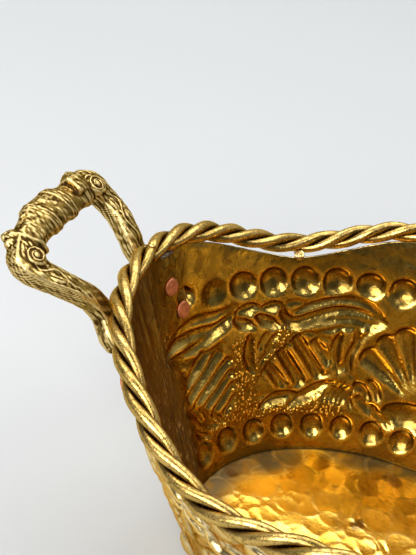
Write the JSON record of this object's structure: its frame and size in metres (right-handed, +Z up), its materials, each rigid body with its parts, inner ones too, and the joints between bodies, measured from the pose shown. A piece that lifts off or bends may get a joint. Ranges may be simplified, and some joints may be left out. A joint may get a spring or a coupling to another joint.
{
  "type": "planter pot",
  "caption": "Oval flared brass planter with chased walls, a waved twisted-rope rim and a cast handle riveted at each end.",
  "frame": {"origin": "centre of the resting face, on the floor under the middle of the pot", "axes": "+X along the length through both handles, +Y across, +Z up"},
  "size_m": [0.4152, 0.2404, 0.1635],
  "materials": {
    "wall_sheet": "golden brown, hammered and chased, aged, semi-gloss",
    "base_sheet": "planished, amber, greyish patina near the edge",
    "rope": "pale yellow brass, polished crowns, dark grooves",
    "cast_handle": "cast and chased, olive-brown patina in the hollows",
    "tie_wire": "drawn wire, bright",
    "copper_rivet": null,
    "solder": null
  },
  "bodies": {
    "root": {"wall": "wall_sheet", "base_plate": "base_sheet", "rim_strand_1": "rope", "rim_strand_2": "rope", "rim_strand_3": "rope", "rim_tie_left_rear": "tie_wire", "rim_tie_right_rear": "tie_wire", "rim_tie_right_front": "tie_wire", "rim_tie_left_front": "tie_wire", "handle_left": "cast_handle", "rivet_left_rear_lower": "copper_rivet", "rivet_left_rear_upper": "copper_rivet", "rim_solder_left_rear": "solder", "rivet_left_front_lower": "copper_rivet", "rivet_left_front_upper": "copper_rivet", "rim_solder_left_front": "solder", "handle_right": "cast_handle", "rivet_right_rear_lower": "copper_rivet", "rivet_right_rear_upper": "copper_rivet", "rim_solder_right_rear": "solder", "rivet_right_front_lower": "copper_rivet", "rivet_right_front_upper": "copper_rivet", "rim_solder_right_front": "solder"}
  },
  "joints": []
}
